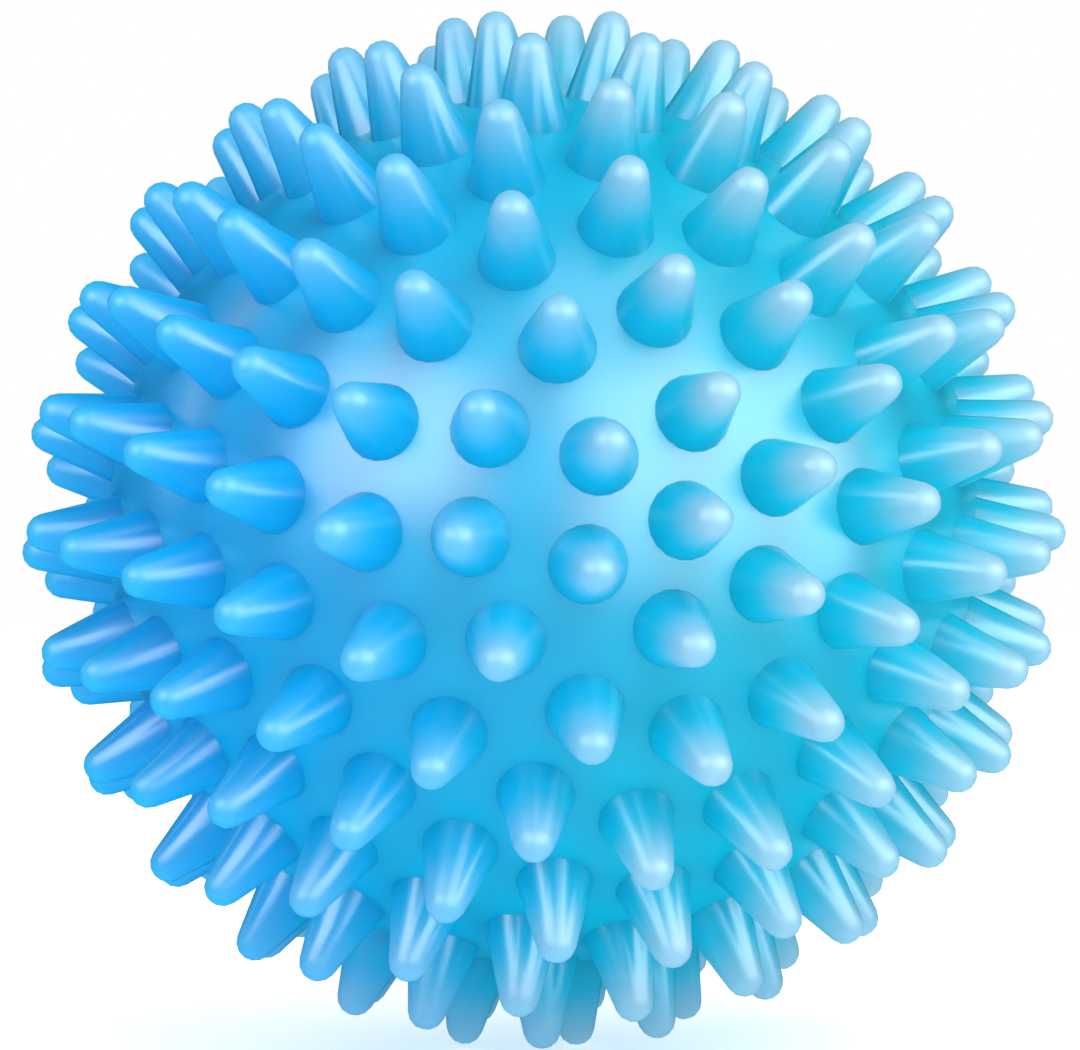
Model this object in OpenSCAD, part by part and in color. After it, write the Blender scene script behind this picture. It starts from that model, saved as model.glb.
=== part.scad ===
// Spiky sensory ball: a hollow soft moulding with round-tipped spikes in rings, and an air valve with a pull-out plug.
// Millimetres. The origin is the centre of the ball, +Z is up. The rings of spikes lie around the Y axis:
// a single spike stands on the front pole, at -Y, and the valve takes the place of the one on the back pole, at +Y.

/* [Ball] */
// Outer diameter of the wall between the spikes
ball_d = 75; // [72:1:100]
// Thickness of the wall
wall = 2.4; // [1.6:0.1:4]

/* [Spikes] */
// How far a spike stands out of the wall
spike_h = 7.5; // [5:0.5:12]
// Diameter of a spike just above its root
spike_base_d = 6; // [4.5:0.1:6.6]
// Diameter of a spike's round tip
spike_tip_d = 3.2; // [2:0.1:4]
// How far the root spreads on the wall, past the spike
root_flare = 0.25; // [0.2:0.05:1]
// Height of the root above the wall
root_h = 0.4; // [0.3:0.1:1.5]

/* [Valve seat] */
// Thickness of the seat's flange around the plug's head
seat_rim = 0.95; // [0.6:0.05:1.2]
// Thickness of the flange under the head
seat_floor = 1.2; // [0.8:0.1:1.8]
// Thickness of the seat's barrel around the air hole
seat_wall = 1.25; // [0.8:0.05:1.6]
// Height of the whole seat
seat_h = 8; // [6:0.5:10]
// Thickness of the boss around the seat, inside the ball
boss_wall = 2.9; // [2:0.1:5]

/* [Valve plug] */
// Diameter of the plug's head
plug_head_d = 6; // [5:0.1:6.4]
// Height of the head, sunk in the seat
plug_head_h = 1.6; // [1:0.1:2]
// Diameter of the stem in the air hole
plug_stem_d = 3.6; // [2.4:0.1:4]
// How far the stem reaches past the seat's inner end
plug_stem_past = 1.2; // [0.6:0.1:2]
// Chamfer at the stem's end
plug_chamfer = 0.5; // [0.2:0.1:0.8]

/* [Fits] */
// Gap around the plug's head, on the radius
head_clearance = 0.25; // [0.1:0.05:0.3]
// Gap around the plug's stem, on the radius
stem_clearance = 0.05; // [0.02:0.01:0.1]
// Gap around the moulded-in seat, on the radius
seat_clearance = 0.02; // [0.01:0.01:0.05]

/* [Hidden] */
$fn = 48;

// Spikes on each ring, from the front pole to the equator, which the back half mirrors
ring_counts = [1, 6, 12, 17, 22, 25, 26, 27];
// How far each of these rings is turned, in shares of the step between its spikes
ring_turn_shares = [0, 0.4, 0.15, 0.6, 0.75, 0.95, 0.2, 0.55];
// Equal steps between the rings, from pole to pole
ring_steps = 2 * (len(ring_counts) - 1);

// How far a solid runs on into its neighbour, and a cut past a face
overrun = 0.3;

ball_r = ball_d / 2;
cavity_r = ball_r - wall;

// Heights on a spike are measured from the centre of the ball
spike_base_r = spike_base_d / 2;
spike_tip_r = spike_tip_d / 2;
root_r = spike_base_r + root_flare;
root_foot = sqrt(ball_r * ball_r - root_r * root_r) - overrun;
root_top = ball_r + root_h;
tip_centre = ball_r + spike_h - spike_tip_r;

// Heights in the valve are measured from the centre of the ball, outwards along the back pole
plug_head_r = plug_head_d / 2;
plug_stem_r = plug_stem_d / 2;
recess_r = plug_head_r + head_clearance;
air_hole_r = plug_stem_r + stem_clearance;
seat_flange_r = recess_r + seat_rim;
seat_barrel_r = air_hole_r + seat_wall;
boss_r = seat_barrel_r + seat_clearance + boss_wall;
valve_face = sqrt(ball_r * ball_r - seat_flange_r * seat_flange_r);
recess_floor = valve_face - plug_head_h;
seat_shoulder = recess_floor - seat_floor;
seat_end = valve_face - seat_h;
plug_end = seat_end - plug_stem_past;
pocket_top = ball_r + overrun;

function ring_row(ring) = min(ring, ring_steps - ring);
function ring_polar(ring) = 180 * ring / ring_steps;
function ring_turn(ring, i) = 360 * (i + ring_turn_shares[ring_row(ring)]) / ring_counts[ring_row(ring)];

// Turns a solid made along Z to the front pole or to the back pole
module to_front() { rotate([90, 0, 0]) children(); }
module to_back() { rotate([-90, 0, 0]) children(); }

// One spike along Z: a short flared root, a long cone and a round tip
module spike() {
  rotate_extrude()
    polygon([
      [0, root_foot],
      [root_r, root_foot],
      [spike_base_r, root_top],
      [spike_tip_r, tip_centre],
      [0, tip_centre],
    ]);
  translate([0, 0, tip_centre]) sphere(r = spike_tip_r);
}

// Every ring but the last, which is the valve's place
module spikes() {
  to_front()
    for (ring = [0 : ring_steps - 1])
      for (i = [0 : ring_counts[ring_row(ring)] - 1])
        rotate([0, ring_polar(ring), ring_turn(ring, i)]) spike();
}

// The air space inside, less the boss that carries the valve
module cavity() {
  difference() {
    sphere(r = cavity_r);
    to_back() translate([0, 0, seat_end]) cylinder(h = ball_r - seat_end, r = boss_r);
  }
}

// The stepped hole in which the seat sits
module seat_pocket() {
  to_back() {
    translate([0, 0, seat_end - overrun])
      cylinder(h = pocket_top - seat_end + overrun, r = seat_barrel_r + seat_clearance);
    translate([0, 0, seat_shoulder])
      cylinder(h = pocket_top - seat_shoulder, r = seat_flange_r + seat_clearance);
  }
}

module ball_skin() {
  color("deepskyblue")
    difference() {
      union() {
        sphere(r = ball_r);
        spikes();
      }
      cavity();
      seat_pocket();
    }
}

module valve_seat() {
  color("lightskyblue")
    to_back()
      rotate_extrude()
        polygon([
          [air_hole_r, seat_end],
          [seat_barrel_r, seat_end],
          [seat_barrel_r, seat_shoulder],
          [seat_flange_r, seat_shoulder],
          [seat_flange_r, valve_face],
          [recess_r, valve_face],
          [recess_r, recess_floor],
          [air_hole_r, recess_floor],
        ]);
}

module valve_plug() {
  color("white")
    to_back()
      rotate_extrude()
        polygon([
          [0, plug_end],
          [plug_stem_r - plug_chamfer, plug_end],
          [plug_stem_r, plug_end + plug_chamfer],
          [plug_stem_r, recess_floor],
          [plug_head_r, recess_floor],
          [plug_head_r, valve_face],
          [0, valve_face],
        ]);
}

ball_skin();
valve_seat();
valve_plug();
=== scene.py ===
"""Sensory ball: a soft, hollow, spiky ball with an air valve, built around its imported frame. In metres."""
from math import acos, asin, atan2, cos, hypot, pi, radians, sin, sqrt

import bpy
import numpy as np
from bpy.props import FloatProperty, FloatVectorProperty, PointerProperty
from mathutils import Matrix, Vector
from mathutils.geometry import delaunay_2d_cdt


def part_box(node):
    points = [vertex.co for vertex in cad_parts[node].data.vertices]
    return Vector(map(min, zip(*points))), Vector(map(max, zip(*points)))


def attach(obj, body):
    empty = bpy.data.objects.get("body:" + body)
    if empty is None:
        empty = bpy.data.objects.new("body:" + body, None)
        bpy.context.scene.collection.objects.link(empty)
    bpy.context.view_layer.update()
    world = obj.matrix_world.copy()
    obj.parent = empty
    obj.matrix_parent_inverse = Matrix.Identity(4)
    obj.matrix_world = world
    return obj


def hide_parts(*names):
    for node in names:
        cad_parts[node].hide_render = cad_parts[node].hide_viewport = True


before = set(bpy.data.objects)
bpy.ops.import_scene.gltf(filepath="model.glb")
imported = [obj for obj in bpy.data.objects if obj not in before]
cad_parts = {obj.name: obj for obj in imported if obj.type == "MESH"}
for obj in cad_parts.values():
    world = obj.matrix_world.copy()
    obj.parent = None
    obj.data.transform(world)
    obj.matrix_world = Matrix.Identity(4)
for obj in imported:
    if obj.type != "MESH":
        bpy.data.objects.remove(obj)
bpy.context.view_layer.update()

bl_info = {
    "name": "Sensory ball",
    "version": (1, 0, 0),
    "blender": (4, 5, 0),
    "location": "3D View > Sidebar > Sensory ball",
    "description": "Builds a soft spiky ball with its air valve, and the stage that it is shown on",
    "category": "Object",
}

MM = 0.001

# What the frame fixes: the reach of the spikes, the wall they stand on and the ends of the valve's pieces
SKIN_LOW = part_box("ball_skin")[0]
SEAT_LOW, SEAT_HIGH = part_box("valve_seat")
PLUG_LOW, PLUG_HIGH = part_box("valve_plug")
TIP_REACH = -SKIN_LOW.y
VALVE_FACE = SEAT_HIGH.y
SEAT_END = SEAT_LOW.y
FLANGE_R = SEAT_HIGH.x
HEAD_R = PLUG_HIGH.x
PLUG_END = PLUG_LOW.y
WALL_R = hypot(VALVE_FACE, FLANGE_R)

# Spikes on each ring, from the front pole to the equator, which the back half mirrors
RING_COUNTS = np.array([1, 6, 12, 17, 22, 25, 26, 27])
# How far each of these rings is turned, in shares of the step between its spikes
RING_TURN_SHARES = np.array([0, 0.4, 0.15, 0.6, 0.75, 0.95, 0.2, 0.55])
# Equal steps between the rings, from pole to pole
RING_STEPS = 2 * (len(RING_COUNTS) - 1)

# Sides around each round shape, and bands along each curved stretch
SPIKE_SIDES = 18
TIP_BANDS = 3
VALVE_SIDES = 48
CAVITY_BANDS = 12
CORNER_BANDS = 3
FLOOR_SIDES = 96

# The triangulation that fills all of the plane between its points, and how near two points count as one
FILL_ALL = 0
SAME_POINT = 1e-9

# Sockets of a Mix node set to colours
MIX_FACTOR = 0
MIX_FIRST = 6
MIX_SECOND = 7
MIX_RESULT = 2

# Scale of each finish's noise, in spots to a metre
SKIN_CLOUDS = 42
SKIN_MOTTLE = 260
SKIN_GRAIN = 2600
VALVE_CLOUDS = 700
VALVE_GRAIN = 5000
FLOOR_CLOUDS = 3

# Painted shade deepest, plain skin, painted light palest, from left to right, and how widely clouds spread
# it
PAINTED_SHADE_X = -40 * MM
PLAIN_X = 6 * MM
PAINTED_LIGHT_X = 45 * MM
CLOUD_SPREAD = 20 * MM

# Shares of a spike's height at which its end starts to take a painted highlight, and to lose its gloss
END_HIGHLIGHT_SHARE = 0.25
DULL_SHARE = 0.5

# Shares of full brightness: wall in painted shade, spikes in painted light, and clouds of valve and floor
WALL_PAINTED_SHADE_SHARE = 0.95
SPIKE_PAINTED_LIGHT_SHARE = 1.02
VALVE_SHADE_SHARE = 0.82
FLOOR_SHADE_SHARE = 0.97

# Least share of the painted highlight at the end of a spike
LEAST_END_HIGHLIGHT_SHARE = 0.6

# Roughness of each finish, what its noise adds to it, and what the end of a spike adds
SKIN_ROUGHNESS = 0.28
SKIN_ROUGHNESS_NOISE = 0.04
SKIN_ROUGHNESS_END = 0.16
SEAT_ROUGHNESS = 0.3
PLUG_ROUGHNESS = 0.35
VALVE_ROUGHNESS_NOISE = 0.15
FLOOR_ROUGHNESS = 0.9


def length(name, description, default):
    """A size that a user may change, in metres."""
    return FloatProperty(
        name=name, description=description, default=default, min=0, precision=5, unit="LENGTH"
    )


def brightness(name, description, default):
    """A strength of light that a user may change."""
    return FloatProperty(name=name, description=description, default=default, min=0)


def rotation(name, description, degrees):
    """An angle that a user may change."""
    return FloatProperty(name=name, description=description, default=radians(degrees), unit="ROTATION")


def colour(name, description, default):
    """A linear colour that a user may change."""
    return FloatVectorProperty(
        name=name, description=description, default=default, size=3, min=0, max=1, subtype="COLOR"
    )


class SkinSizes(bpy.types.PropertyGroup):
    """Sizes of the soft skin and of its spikes."""

    wall_radius: length("Wall radius", "Outside of the wall between the spikes", WALL_R)
    wall: length("Wall", "Thickness of the wall", 2.4 * MM)
    tip_reach: length("Tip reach", "From the centre of the ball to the end of a spike", TIP_REACH)
    spike_base: length("Spike base", "Diameter of a spike where it meets the wall", 6.2 * MM)
    spike_tip: length("Spike tip", "Diameter of a spike's round tip", 3.2 * MM)


class ValveSizes(bpy.types.PropertyGroup):
    """Sizes of the valve's seat, of its plug and of their place in the skin."""

    flange_radius: length("Flange radius", "Outside of the seat's flange", FLANGE_R)
    flange_height: length("Flange height", "Height of the seat's flange", 2.8 * MM)
    barrel_radius: length("Barrel radius", "Outside of the seat's barrel", 3.1 * MM)
    hole_radius: length("Hole radius", "Air hole of the seat", 1.85 * MM)
    boss_radius: length("Boss radius", "Outside of the boss around the seat", 6.02 * MM)
    seat_gap: length("Seat gap", "Gap between the seat and the skin", 0.02 * MM)
    head_gap: length("Head gap", "Gap around the plug's head", 0.25 * MM)
    head_radius: length("Head radius", "Outside of the plug's head", HEAD_R)
    head_height: length("Head height", "Height of the plug's head", 1.6 * MM)
    stem_radius: length("Stem radius", "Outside of the plug's stem", 1.8 * MM)
    stem_chamfer: length("Stem chamfer", "Chamfer at the stem's end", 0.5 * MM)
    dish_radius: length("Dish radius", "Sunk middle of the plug's head", 1.9 * MM)
    dish_depth: length("Dish depth", "How far the middle of the head is sunk", 0.35 * MM)
    mouth_round: length("Mouth round", "Rounding where the skin meets the seat", 0.3 * MM)
    edge_round: length("Edge round", "Rounding of the edges of the seat and the plug", 0.18 * MM)


class BallColours(bpy.types.PropertyGroup):
    """Colours of the ball's three materials."""

    skin: colour("Skin", "Pigment of the soft skin", (0.0, 0.475, 0.67))
    # Painted shade: the skin deepened on the ball's left side, away from the light
    skin_painted_shade: colour("Skin, deep side", "Pigment where the skin is deepest in colour", (0.0, 0.385, 0.80))
    # Painted light: the skin paled on the ball's right side, towards the light
    skin_painted_light: colour("Skin, pale side", "Pigment where the skin is palest", (0.0, 0.50, 0.68))
    # Painted highlight: the pale ends of the spikes
    tip: colour("Tip", "Milky ends of the spikes", (0.32, 0.53, 0.68))
    # Painted shade at the ends of the spikes on the ball's left side
    tip_painted_shade: colour("Tip, deep side", "Ends of the spikes where the skin is deepest", (0.0, 0.43, 0.84))
    seat: colour("Seat", "Firmer pale blue of the valve seat", (0.16, 0.52, 0.78))
    plug: colour("Plug", "White of the valve plug", (0.78, 0.82, 0.84))


class StageSettings(bpy.types.PropertyGroup):
    """Floor, light and camera."""

    floor: colour("Floor", "Pale floor", (0.9, 0.9, 0.9))
    floor_radius: length("Floor radius", "Reach of the round floor", 4.0)
    floor_glow: brightness("Floor glow", "Light from below the floor", 0.6)
    ambient: brightness("Ambient", "Strength of the even light", 0.76)
    key_glow: brightness("Key glow", "Brightness of the softbox overhead", 3.3)
    sheen_glow: brightness("Sheen glow", "Brightness of the white panels", 9.0)
    camera_distance: length("Camera distance", "From the camera to the centre of the ball", 0.304)
    camera_swing: rotation("Camera swing", "Turn to the left of the front pole", 17.1)
    camera_dip: rotation("Camera dip", "Turn below the front pole", 1.06)


class BallSettings(bpy.types.PropertyGroup):
    """All that a user may change."""

    skin: PointerProperty(type=SkinSizes)
    valve: PointerProperty(type=ValveSizes)
    colours: PointerProperty(type=BallColours)
    stage: PointerProperty(type=StageSettings)


class Wire:
    """A shader socket that takes part in Python arithmetic: each operator on values adds one Math node."""

    def __init__(self, sheet, socket):
        self.sheet = sheet
        self.socket = socket

    def math(self, operation, first, second):
        return self.sheet.add("ShaderNodeMath", {"operation": operation}, {0: first, 1: second})

    def __add__(self, other):
        return self.math("ADD", self, other)

    def __radd__(self, other):
        return self.math("ADD", other, self)

    def __sub__(self, other):
        return self.math("SUBTRACT", self, other)

    def __rsub__(self, other):
        return self.math("SUBTRACT", other, self)

    def __mul__(self, other):
        return self.math("MULTIPLY", self, other)

    def __rmul__(self, other):
        return self.math("MULTIPLY", other, self)


class Sheet:
    """A material's or a world's node tree, to which nodes are added by one method."""

    def __init__(self, owner):
        owner.use_nodes = True
        self.tree = owner.node_tree
        self.tree.nodes.clear()

    def add(self, kind, settings=None, inputs=None, output=0):
        """Adds a node, sets its settings and then its sockets, and returns one of its outputs."""
        node = self.tree.nodes.new(kind)
        for name, value in (settings or {}).items():
            setattr(node, name, value)
        for name, value in (inputs or {}).items():
            if isinstance(value, Wire):
                self.tree.links.new(value.socket, node.inputs[name])
            else:
                node.inputs[name].default_value = value
        return Wire(self, node.outputs[output]) if node.outputs else None

    def blend(self, factor, first, second):
        """Mixes two colours by a factor."""
        sockets = {MIX_FACTOR: factor, MIX_FIRST: first, MIX_SECOND: second}
        return self.add("ShaderNodeMix", {"data_type": "RGBA"}, sockets, MIX_RESULT)

    def place(self):
        """The point on the piece, in the frame of the part."""
        return self.add("ShaderNodeTexCoord", output="Object")

    def noise(self, place, scale):
        """Cloudy values around a half."""
        return self.add("ShaderNodeTexNoise", None, {"Vector": place, "Scale": scale})

    def ease(self, value, low, high):
        """Runs smoothly from 0 to 1 as the value goes from low to high."""
        settings = {"interpolation_type": "SMOOTHSTEP"}
        return self.add("ShaderNodeMapRange", settings, {"Value": value, "From Min": low, "From Max": high})

    def relief(self, height, strength, depth):
        """Normals of a surface that is raised and sunk by a height."""
        return self.add("ShaderNodeBump", None, {"Strength": strength, "Distance": depth, "Height": height})

    def finish(self, shader_inputs):
        """Ends the sheet in a Principled shader."""
        shader = self.add("ShaderNodeBsdfPrincipled", None, shader_inputs)
        self.add("ShaderNodeOutputMaterial", None, {"Surface": shader})


def opaque(rgb, share=1.0):
    """A colour socket's four values, at a share of the colour's brightness."""
    return (*(share * part for part in rgb), 1.0)


def soft_pvc(colours):
    """Glossy translucent PVC, in painted shade on its left and its wall, painted light on its right and
    spike ends.
    """
    material = bpy.data.materials.new("soft_pvc")
    sheet = Sheet(material)
    place = sheet.place()
    rise = sheet.add("ShaderNodeAttribute", {"attribute_name": "rise"}, output="Fac")
    clouds = sheet.noise(place, SKIN_CLOUDS)
    mottle = sheet.noise(place, SKIN_MOTTLE)
    grain = sheet.noise(place, SKIN_GRAIN)
    across = sheet.add("ShaderNodeSeparateXYZ", None, {"Vector": place}, "X") + (clouds - 0.5) * CLOUD_SPREAD
    # Painted shade deepens the skin towards the ball's left, and painted light pales it towards the right
    painted_shade_clearing = sheet.ease(across, PAINTED_SHADE_X, PLAIN_X)
    left = sheet.blend(painted_shade_clearing, opaque(colours.skin_painted_shade), opaque(colours.skin))
    flank = sheet.blend(sheet.ease(across, PLAIN_X, PAINTED_LIGHT_X), left, opaque(colours.skin_painted_light))
    # Painted shade darkens the wall between the spikes, and painted light brightens the spikes
    painted_shade_lift = sheet.ease(rise, 0.0, END_HIGHLIGHT_SHARE) * (SPIKE_PAINTED_LIGHT_SHARE - WALL_PAINTED_SHADE_SHARE)
    body = sheet.add("ShaderNodeHueSaturation", None, {"Color": flank, "Value": WALL_PAINTED_SHADE_SHARE + painted_shade_lift})
    # Painted highlight at the ends of the spikes, with painted shade at the ends on the ball's left
    ends = sheet.blend(painted_shade_clearing, opaque(colours.tip_painted_shade), opaque(colours.tip))
    painted_end_highlight = sheet.ease(rise, END_HIGHLIGHT_SHARE, 1.0) * (LEAST_END_HIGHLIGHT_SHARE + mottle * (1 - LEAST_END_HIGHLIGHT_SHARE))
    dull = sheet.ease(rise, DULL_SHARE, 1.0)
    sheet.finish({
        "Base Color": sheet.blend(painted_end_highlight, body, ends),
        "Roughness": SKIN_ROUGHNESS + mottle * SKIN_ROUGHNESS_NOISE + dull * SKIN_ROUGHNESS_END,
        "IOR": 1.5,
        "Subsurface Weight": 0.3,
        "Subsurface Radius": (0.4, 0.9, 1.0),
        "Subsurface Scale": 2.0 * MM,
        "Normal": sheet.relief(grain, strength=0.05, depth=0.1 * MM),
    })
    return material


def moulded_pvc(name, rgb, roughness):
    """Firm moulded PVC: one colour with faint clouds, a satin gloss and a fine grain."""
    material = bpy.data.materials.new(name)
    sheet = Sheet(material)
    place = sheet.place()
    clouds = sheet.noise(place, VALVE_CLOUDS)
    grain = sheet.noise(place, VALVE_GRAIN)
    sheet.finish({
        "Base Color": sheet.blend(clouds, opaque(rgb, VALVE_SHADE_SHARE), opaque(rgb)),
        "Roughness": roughness + clouds * VALVE_ROUGHNESS_NOISE,
        "Subsurface Weight": 0.2,
        "Subsurface Scale": 1.5 * MM,
        "Normal": sheet.relief(grain, strength=0.08, depth=0.05 * MM),
    })
    return material


def pale_floor(rgb, glow):
    """Matt pale floor with barely visible clouds, lit a little from below."""
    material = bpy.data.materials.new("pale_floor")
    sheet = Sheet(material)
    clouds = sheet.noise(sheet.place(), FLOOR_CLOUDS)
    sheet.finish({
        "Base Color": sheet.blend(clouds, opaque(rgb, FLOOR_SHADE_SHARE), opaque(rgb)),
        "Roughness": FLOOR_ROUGHNESS,
        "Specular IOR Level": 0.1,
        "Emission Color": opaque(rgb),
        "Emission Strength": glow,
    })
    return material


def unit(vectors):
    """Vectors at a length of one."""
    return vectors / np.linalg.norm(vectors, axis=-1, keepdims=True)


def spike_frames():
    """Axis and two cross directions of every spike. Ring k stands at a polar angle of pi times k over
    RING_STEPS from the front pole, and its spikes are evenly spaced around Y, turned by the ring's share of
    their step."""
    rings = np.arange(RING_STEPS)
    rows = np.minimum(rings, RING_STEPS - rings)
    counts = RING_COUNTS[rows]
    ring = np.repeat(rings, counts)
    row = np.repeat(rows, counts)
    place = np.arange(len(ring)) - np.repeat(np.cumsum(counts) - counts, counts)
    polar = pi * ring / RING_STEPS
    turn = 2 * pi * (place + RING_TURN_SHARES[row]) / RING_COUNTS[row]
    axis = np.stack([np.sin(polar) * np.cos(turn), -np.cos(polar), np.sin(polar) * np.sin(turn)], -1)
    along = np.stack([np.cos(polar) * np.cos(turn), np.sin(polar), np.cos(polar) * np.sin(turn)], -1)
    around = np.stack([-np.sin(turn), np.zeros_like(turn), np.cos(turn)], -1)
    return axis, along, around


def spike_profile(sizes):
    """Half section of a spike, foot first, as rows of radius and height from the ball's centre, and its
    normals. The cone runs straight from its foot on the wall to the point where it touches the tip's
    circle, which is divided in equal angles up to its pole. The pole is left out. The normal where the two
    meet lies half way between those of the faces on either side, so that no seam shows."""
    tip_r = sizes.spike_tip / 2
    base_r = sizes.spike_base / 2
    tip_centre = np.array([0, sizes.tip_reach - tip_r])
    foot = np.array([base_r, sqrt(sizes.wall_radius ** 2 - base_r ** 2)])
    to_foot = foot - tip_centre
    touch = atan2(to_foot[1], to_foot[0]) + acos(tip_r / hypot(*to_foot))
    band = (pi / 2 - touch) / TIP_BANDS
    angles = touch + band * np.arange(TIP_BANDS)
    tip = tip_centre + tip_r * np.stack([np.cos(angles), np.sin(angles)], -1)
    first_face = touch + band / 2
    meeting = (touch + first_face) / 2
    facing = np.concatenate([[touch, meeting], angles[1:]])
    normals = np.stack([np.cos(facing), np.sin(facing)], -1)
    return np.concatenate([[foot], tip]), normals


def around_axis(rows, frames, sides):
    """Rows of radius and height carried around each axis: height along the axis plus radius times the
    cosine and sine of the angle along the two cross directions. The result is indexed by axis, row and
    side."""
    axis, along, around = (direction[:, None, None, :] for direction in frames)
    angle = 2 * pi * np.arange(sides) / sides
    spoke = np.cos(angle)[:, None] * along + np.sin(angle)[:, None] * around
    return rows[:, 1, None, None] * axis + rows[:, 0, None, None] * spoke


def band_faces(first, rows, sides):
    """Quads between neighbouring rows of a closed grid of vertices that starts at each index in first,
    turned counter-clockwise for a viewer outside a surface whose rows climb the axis."""
    row = np.arange(rows - 1)[:, None] * sides
    side = np.arange(sides)
    after = (side + 1) % sides
    quad = np.stack([row + side, row + after, row + sides + after, row + sides + side], -1)
    return (np.reshape(first, (-1, 1, 1)) + quad.reshape(1, -1, 4)).reshape(-1, 4)


def pole_faces(first, pole, sides):
    """Triangles from a row of vertices that starts at each index in first to its pole."""
    side = np.arange(sides)
    after = (side + 1) % sides
    start = np.reshape(first, (-1, 1))
    end = np.broadcast_to(np.reshape(pole, (-1, 1)), (len(start), sides))
    return np.stack([start + side, start + after, end], -1).reshape(-1, 3)


def wall_faces(points, ring):
    """Triangles of the wall between closed rings of points on it. Each point is projected from the valve's
    pole on to a plane, as x and z over one less y on the unit ball, which keeps circles round, so that a
    Delaunay triangulation of the plane is the one of the ball. Triangles that would cap a ring are
    dropped."""
    on_ball = unit(points)
    flat = on_ball[:, [0, 2]] / (1 - on_ball[:, 1:2])
    following = np.arange(1, len(points) + 1)
    last = np.append(ring[1:] != ring[:-1], True)
    following[last] = np.searchsorted(ring, ring[last])
    edges = np.stack([np.arange(len(points)), following], -1)
    faces = delaunay_2d_cdt(flat.tolist(), edges.tolist(), [], FILL_ALL, SAME_POINT)[2]
    corners = np.array(faces)
    corners = corners[np.ptp(ring[corners], axis=1) > 0]
    a, b, c = points[corners].swapaxes(0, 1)
    inward = np.einsum("ij,ij->i", np.cross(b - a, c - a), a) < 0
    corners[inward] = corners[inward, ::-1]
    return corners


def rounded(corners, radius, closed):
    """An outline with its corners rounded: each corner gives way to a quadratic curve that starts and ends
    at the radius along its two sides, or at a third of a shorter side. The ends of an open outline stay as
    they are."""
    before = np.roll(corners, 1, axis=0) - corners
    after = np.roll(corners, -1, axis=0) - corners
    reach_before = np.minimum(radius, np.linalg.norm(before, axis=1, keepdims=True) / 3)
    reach_after = np.minimum(radius, np.linalg.norm(after, axis=1, keepdims=True) / 3)
    start = corners + reach_before * unit(before)
    end = corners + reach_after * unit(after)
    share = np.linspace(0, 1, CORNER_BANDS + 1)[:, None, None]
    curve = (1 - share) ** 2 * start + 2 * share * (1 - share) * corners + share ** 2 * end
    curve = curve.swapaxes(0, 1)
    if closed:
        return curve.reshape(-1, 2)
    return np.concatenate([corners[:1], curve[1:-1].reshape(-1, 2), corners[-1:]])


# The valve's axis runs outwards along +Y, with two cross directions that turn counter-clockwise around it
VALVE_FRAME = tuple(np.array([direction], dtype=float) for direction in ((0, 1, 0), (0, 0, 1), (1, 0, 0)))


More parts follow.
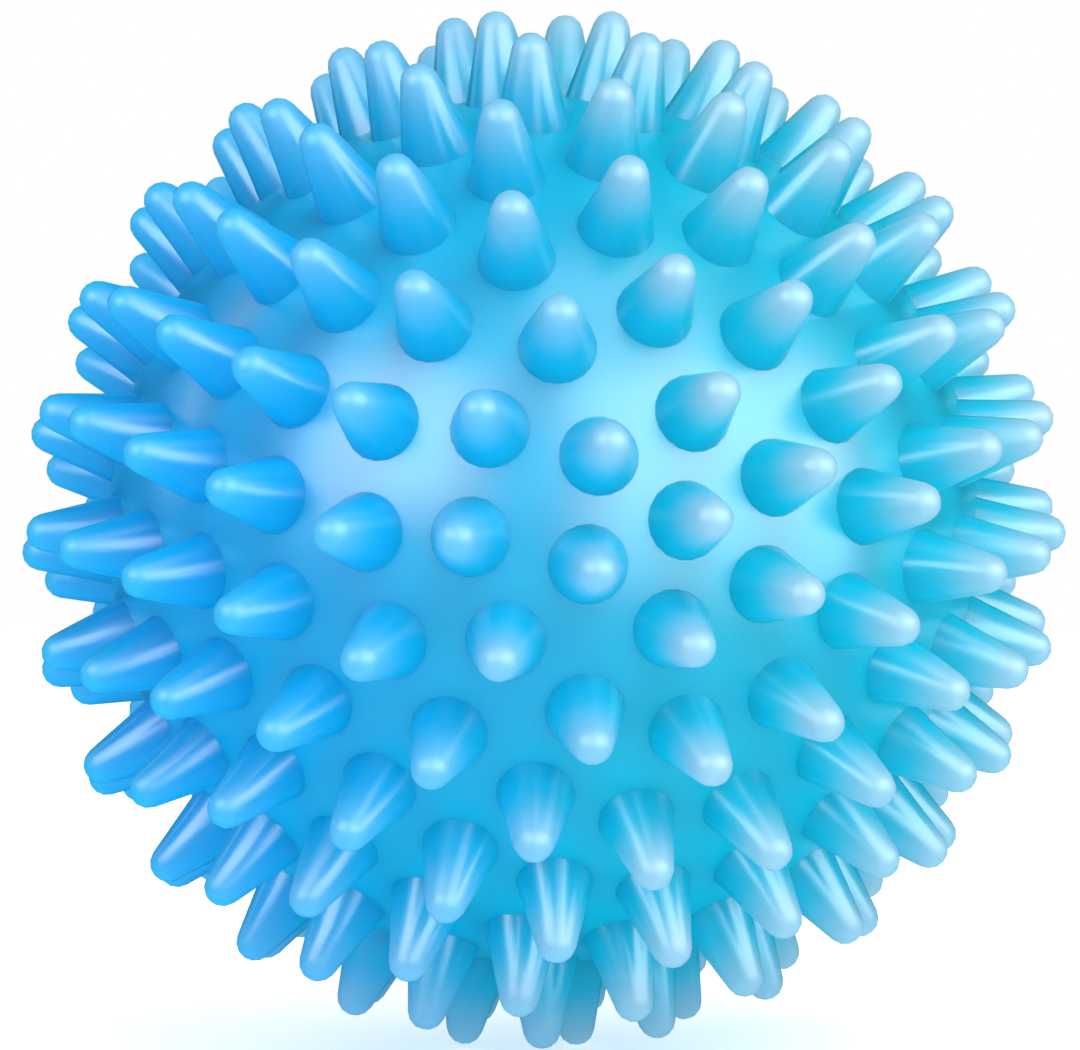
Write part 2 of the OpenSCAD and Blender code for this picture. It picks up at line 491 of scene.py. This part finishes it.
def skin_mesh(skin, valve):
    """Vertices, faces, normals at the faces' corners and rise of the whole skin, one closed surface: the
    spikes, the wall between them, the mouth and pocket of the valve, and the cavity inside. A corner on a
    spike has the spike's normal, one on the wall points away from the ball's centre, and a zero leaves the
    normal to the mesh. Rise is a point's height above the wall, as a share of a spike's height."""
    profile, profile_normals = spike_profile(skin)
    frames = spike_frames()
    rows = len(profile)
    spikes = len(frames[0])
    spike = around_axis(profile, frames, SPIKE_SIDES)
    spike_normals = around_axis(profile_normals, frames, SPIKE_SIDES)
    poles = skin.tip_reach * frames[0]

    pocket_r = valve.flange_radius + valve.seat_gap
    barrel_r = valve.barrel_radius + valve.seat_gap
    mouth_r = pocket_r + valve.mouth_round
    mouth_y = sqrt(skin.wall_radius ** 2 - mouth_r ** 2)
    shoulder = VALVE_FACE - valve.flange_height
    cavity_r = skin.wall_radius - skin.wall
    start = asin(valve.boss_radius / cavity_r)
    polar = start + (pi - start) * np.arange(CAVITY_BANDS) / CAVITY_BANDS
    cavity = cavity_r * np.stack([np.sin(polar), np.cos(polar)], -1)
    bend = np.array([[pocket_r, mouth_y]])
    mouth = np.array([[mouth_r, mouth_y], [pocket_r, mouth_y - valve.mouth_round]])
    middle = (mouth[:1] + 2 * bend + mouth[1:]) / 4
    pocket = np.array([
        [pocket_r, shoulder],
        [barrel_r, shoulder],
        [barrel_r, SEAT_END],
        [valve.boss_radius, SEAT_END],
    ])
    inside = np.concatenate([mouth[:1], middle, mouth[1:], pocket, cavity])
    inner = around_axis(inside, VALVE_FRAME, VALVE_SIDES)

    points = np.concatenate([spike.reshape(-1, 3), poles, inner.reshape(-1, 3), [[0, -cavity_r, 0]]])
    first_spike = np.arange(spikes) * rows * SPIKE_SIDES
    first_pole = spikes * rows * SPIKE_SIDES
    first_inner = first_pole + spikes
    last_row = first_spike + (rows - 1) * SPIKE_SIDES
    inner_end = first_inner + (len(inside) - 1) * VALVE_SIDES
    root = (first_spike[:, None] + np.arange(SPIKE_SIDES)).ravel()
    rim = first_inner + np.arange(VALVE_SIDES)
    on_wall = np.concatenate([root, rim])
    ring = np.concatenate([np.repeat(np.arange(spikes), SPIKE_SIDES), np.full(VALVE_SIDES, spikes)])
    web = on_wall[wall_faces(points[on_wall], ring)]
    quads = np.concatenate([
        band_faces(first_spike, rows, SPIKE_SIDES),
        band_faces(first_inner, len(inside), VALVE_SIDES),
    ])
    caps = np.concatenate([
        pole_faces(last_row, first_pole + np.arange(spikes), SPIKE_SIDES),
        pole_faces(inner_end, len(points) - 1, VALVE_SIDES),
    ])

    normals = np.zeros_like(points)
    normals[:first_pole] = spike_normals.reshape(-1, 3)
    normals[first_pole:first_inner] = frames[0]
    normals[rim] = unit(points[rim])
    corners = [normals[quads], normals[caps], unit(points[web])]
    corner_normals = np.concatenate([group.reshape(-1, 3) for group in corners])
    rise = (np.linalg.norm(points, axis=1) - skin.wall_radius) / (skin.tip_reach - skin.wall_radius)
    return points, [quads, caps, web], corner_normals, np.clip(rise, 0, 1)


def ring_mesh(outline, closed):
    """Vertices and faces of an outline of radius and height carried around the valve's axis. A closed
    outline gives a ring, and an open one, whose ends lie on the axis, a solid with a pole at each end."""
    if closed:
        grid = around_axis(outline, VALVE_FRAME, VALVE_SIDES).reshape(-1, 3)
        wrapped = band_faces(0, len(outline) + 1, VALVE_SIDES) % len(grid)
        return grid, [wrapped]
    grid = around_axis(outline[1:-1], VALVE_FRAME, VALVE_SIDES).reshape(-1, 3)
    ends = np.array([[0, outline[0, 1], 0], [0, outline[-1, 1], 0]])
    top_row = len(grid) - VALVE_SIDES
    sides = band_faces(0, len(outline) - 2, VALVE_SIDES)
    bottom = pole_faces(0, len(grid), VALVE_SIDES)[:, ::-1]
    top = pole_faces(top_row, len(grid) + 1, VALVE_SIDES)
    return np.concatenate([grid, ends]), [sides, bottom, top]


def mesh_object(name, points, face_groups, material):
    """A smooth-shaded object at the origin from a vertex array and arrays of faces."""
    mesh = bpy.data.meshes.new(name)
    faces = [face for group in face_groups for face in group.tolist()]
    mesh.from_pydata(points.tolist(), [], faces)
    mesh.shade_smooth()
    mesh.materials.append(material)
    made = bpy.data.objects.new(name, mesh)
    bpy.context.scene.collection.objects.link(made)
    return made


def keep_flats_flat(piece):
    """Weights the normals by face area, so that rounded edges shade as such and flat faces stay flat."""
    piece.modifiers.new("flat_faces", "WEIGHTED_NORMAL")


class SENSORYBALL_OT_skin(bpy.types.Operator):
    """Make the soft skin with its spikes"""

    bl_idname = "sensoryball.skin"
    bl_label = "Skin"

    def execute(self, context):
        settings = context.scene.sensory_ball
        points, faces, normals, rise = skin_mesh(settings.skin, settings.valve)
        piece = mesh_object("soft_skin", points, faces, soft_pvc(settings.colours))
        piece.data.attributes.new("rise", "FLOAT", "POINT").data.foreach_set("value", rise)
        piece.data.normals_split_custom_set(normals.tolist())
        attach(piece, "ball")
        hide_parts("ball_skin")
        return {"FINISHED"}


class SENSORYBALL_OT_seat(bpy.types.Operator):
    """Make the seat of the air valve"""

    bl_idname = "sensoryball.seat"
    bl_label = "Valve seat"

    def execute(self, context):
        settings = context.scene.sensory_ball
        valve = settings.valve
        recess_r = valve.head_radius + valve.head_gap
        recess_floor = VALVE_FACE - valve.head_height
        shoulder = VALVE_FACE - valve.flange_height
        corners = np.array([
            [valve.hole_radius, SEAT_END],
            [valve.barrel_radius, SEAT_END],
            [valve.barrel_radius, shoulder],
            [valve.flange_radius, shoulder],
            [valve.flange_radius, VALVE_FACE],
            [recess_r, VALVE_FACE],
            [recess_r, recess_floor],
            [valve.hole_radius, recess_floor],
        ])
        points, faces = ring_mesh(rounded(corners, valve.edge_round, True), True)
        material = moulded_pvc("firm_pvc", settings.colours.seat, SEAT_ROUGHNESS)
        piece = mesh_object("valve_bush", points, faces, material)
        keep_flats_flat(piece)
        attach(piece, "ball")
        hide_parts("valve_seat")
        return {"FINISHED"}


class SENSORYBALL_OT_plug(bpy.types.Operator):
    """Make the plug that closes the air valve"""

    bl_idname = "sensoryball.plug"
    bl_label = "Valve plug"

    def execute(self, context):
        settings = context.scene.sensory_ball
        valve = settings.valve
        recess_floor = VALVE_FACE - valve.head_height
        dish_floor = VALVE_FACE - valve.dish_depth
        corners = np.array([
            [0, PLUG_END],
            [valve.stem_radius - valve.stem_chamfer, PLUG_END],
            [valve.stem_radius, PLUG_END + valve.stem_chamfer],
            [valve.stem_radius, recess_floor],
            [valve.head_radius, recess_floor],
            [valve.head_radius, VALVE_FACE],
            [valve.dish_radius, VALVE_FACE],
            [valve.dish_radius - valve.dish_depth, dish_floor],
            [0, dish_floor],
        ])
        points, faces = ring_mesh(rounded(corners, valve.edge_round, False), False)
        material = moulded_pvc("plug_pvc", settings.colours.plug, PLUG_ROUGHNESS)
        piece = mesh_object("valve_stopper", points, faces, material)
        keep_flats_flat(piece)
        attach(piece, "plug")
        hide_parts("valve_plug")
        return {"FINISHED"}


def studio_place(azimuth, elevation, distance):
    """A place around the ball, at an azimuth in degrees to the right of the front pole and an elevation."""
    turn, rise = radians(azimuth), radians(elevation)
    return distance * Vector((sin(turn) * cos(rise), -cos(turn) * cos(rise), sin(rise)))


def soft_box(name, azimuth, elevation, distance, width, height, glow):
    """An area light of even brightness that faces the ball."""
    place = studio_place(azimuth, elevation, distance)
    light = bpy.data.lights.new(name, "AREA")
    light.shape = "RECTANGLE"
    light.size = width
    light.size_y = height
    light.energy = pi * width * height * glow
    made = bpy.data.objects.new(name, light)
    made.matrix_world = Matrix.Translation(place) @ place.to_track_quat("Z", "Y").to_matrix().to_4x4()
    bpy.context.scene.collection.objects.link(made)
    return made


class SENSORYBALL_OT_stage(bpy.types.Operator):
    """Make the floor, the light and the camera"""

    bl_idname = "sensoryball.stage"
    bl_label = "Stage"

    # Azimuth and elevation in degrees, distance, width and height of each light
    KEY = (8, 50, 0.7, 0.5, 0.5)
    PANELS = {
        "right panel": (30, 10, 0.75, 1.2, 0.8),
        "left panel": (-56, 21, 0.7, 0.6, 0.45),
        "side strip": (-128, 25, 0.7, 0.03, 0.5),
    }

    # Pixels of the image: the lens's focal length, the width, the middle and the ball's centre
    FOCAL_PIXELS = 3493
    IMAGE_WIDTH = 1080
    IMAGE_CENTRE = (540, 525)
    BALL_CENTRE = (543, 529)

    # What the camera sees starts at this share of its distance
    CLIP_SHARE = 0.01

    def execute(self, context):
        settings = context.scene.sensory_ball
        self.lay_floor(settings.stage)
        self.set_light(context.scene, settings.stage)
        self.set_camera(context.scene, settings.stage)
        return {"FINISHED"}

    def lay_floor(self, stage):
        """A round sheet just under the lowest spike."""
        angle = 2 * pi * np.arange(FLOOR_SIDES) / FLOOR_SIDES
        level = np.full(FLOOR_SIDES, SKIN_LOW.z)
        edge = np.stack([stage.floor_radius * np.cos(angle), stage.floor_radius * np.sin(angle), level], -1)
        points = np.concatenate([edge, [[0, 0, SKIN_LOW.z]]])
        faces = [pole_faces(0, FLOOR_SIDES, FLOOR_SIDES)]
        floor = mesh_object("floor", points, faces, pale_floor(stage.floor, stage.floor_glow))
        floor.visible_glossy = False

    def set_light(self, scene, stage):
        """Even light from a plain white surround, a softbox overhead, and white panels, which show only as
        sheen on the ball. The surround and the floor are not mirrored in it."""
        soft_box("key", *self.KEY, stage.key_glow)
        for name, panel in self.PANELS.items():
            soft_box(name, *panel, stage.sheen_glow).visible_diffuse = False
        scene.world = bpy.data.worlds.new("surround")
        sheet = Sheet(scene.world)
        seen = sheet.add("ShaderNodeLightPath", output="Is Camera Ray")
        mirrored = sheet.add("ShaderNodeLightPath", output="Is Glossy Ray")
        strength = stage.ambient * (1 - mirrored) + seen * (1 - stage.ambient)
        sky = sheet.add("ShaderNodeBackground", None, {"Color": opaque((1, 1, 1)), "Strength": strength})
        sheet.add("ShaderNodeOutputWorld", None, {"Surface": sky})
        scene.view_settings.view_transform = "Standard"

    def set_camera(self, scene, stage):
        """A long lens on the image's line of sight, shifted to put the ball where it stands there."""
        camera = bpy.data.cameras.new("camera")
        camera.sensor_fit = "HORIZONTAL"
        camera.lens = camera.sensor_width * self.FOCAL_PIXELS / self.IMAGE_WIDTH
        camera.shift_x = (self.IMAGE_CENTRE[0] - self.BALL_CENTRE[0]) / self.IMAGE_WIDTH
        camera.shift_y = (self.BALL_CENTRE[1] - self.IMAGE_CENTRE[1]) / self.IMAGE_WIDTH
        camera.clip_start = self.CLIP_SHARE * stage.camera_distance
        made = bpy.data.objects.new("camera", camera)
        swing, dip = stage.camera_swing, stage.camera_dip
        back = Vector((-sin(swing) * cos(dip), -cos(swing) * cos(dip), -sin(dip)))
        turn = back.to_track_quat("Z", "Y").to_matrix().to_4x4()
        made.matrix_world = Matrix.Translation(back * stage.camera_distance) @ turn
        scene.collection.objects.link(made)
        scene.camera = made


PIECE_OPERATORS = (SENSORYBALL_OT_skin, SENSORYBALL_OT_seat, SENSORYBALL_OT_plug, SENSORYBALL_OT_stage)


class SENSORYBALL_PT_panel(bpy.types.Panel):
    """Lists the pieces and the sizes and colours they are made from"""

    bl_label = "Sensory ball"
    bl_space_type = "VIEW_3D"
    bl_region_type = "UI"
    bl_category = "Sensory ball"

    def draw(self, context):
        settings = context.scene.sensory_ball
        for operator in PIECE_OPERATORS:
            self.layout.operator(operator.bl_idname)
        for group in (settings.skin, settings.valve, settings.colours, settings.stage):
            box = self.layout.box()
            for name in group.__annotations__:
                box.prop(group, name)


CLASSES = (
    SkinSizes,
    ValveSizes,
    BallColours,
    StageSettings,
    BallSettings,
    *PIECE_OPERATORS,
    SENSORYBALL_PT_panel,
)


def register():
    for each in CLASSES:
        bpy.utils.register_class(each)
    bpy.types.Scene.sensory_ball = PointerProperty(type=BallSettings)


def unregister():
    del bpy.types.Scene.sensory_ball
    for each in reversed(CLASSES):
        bpy.utils.unregister_class(each)


def main():
    """Makes every piece and the stage."""
    register()
    bpy.ops.sensoryball.skin()
    bpy.ops.sensoryball.seat()
    bpy.ops.sensoryball.plug()
    bpy.ops.sensoryball.stage()


if __name__ == "__main__":
    main()
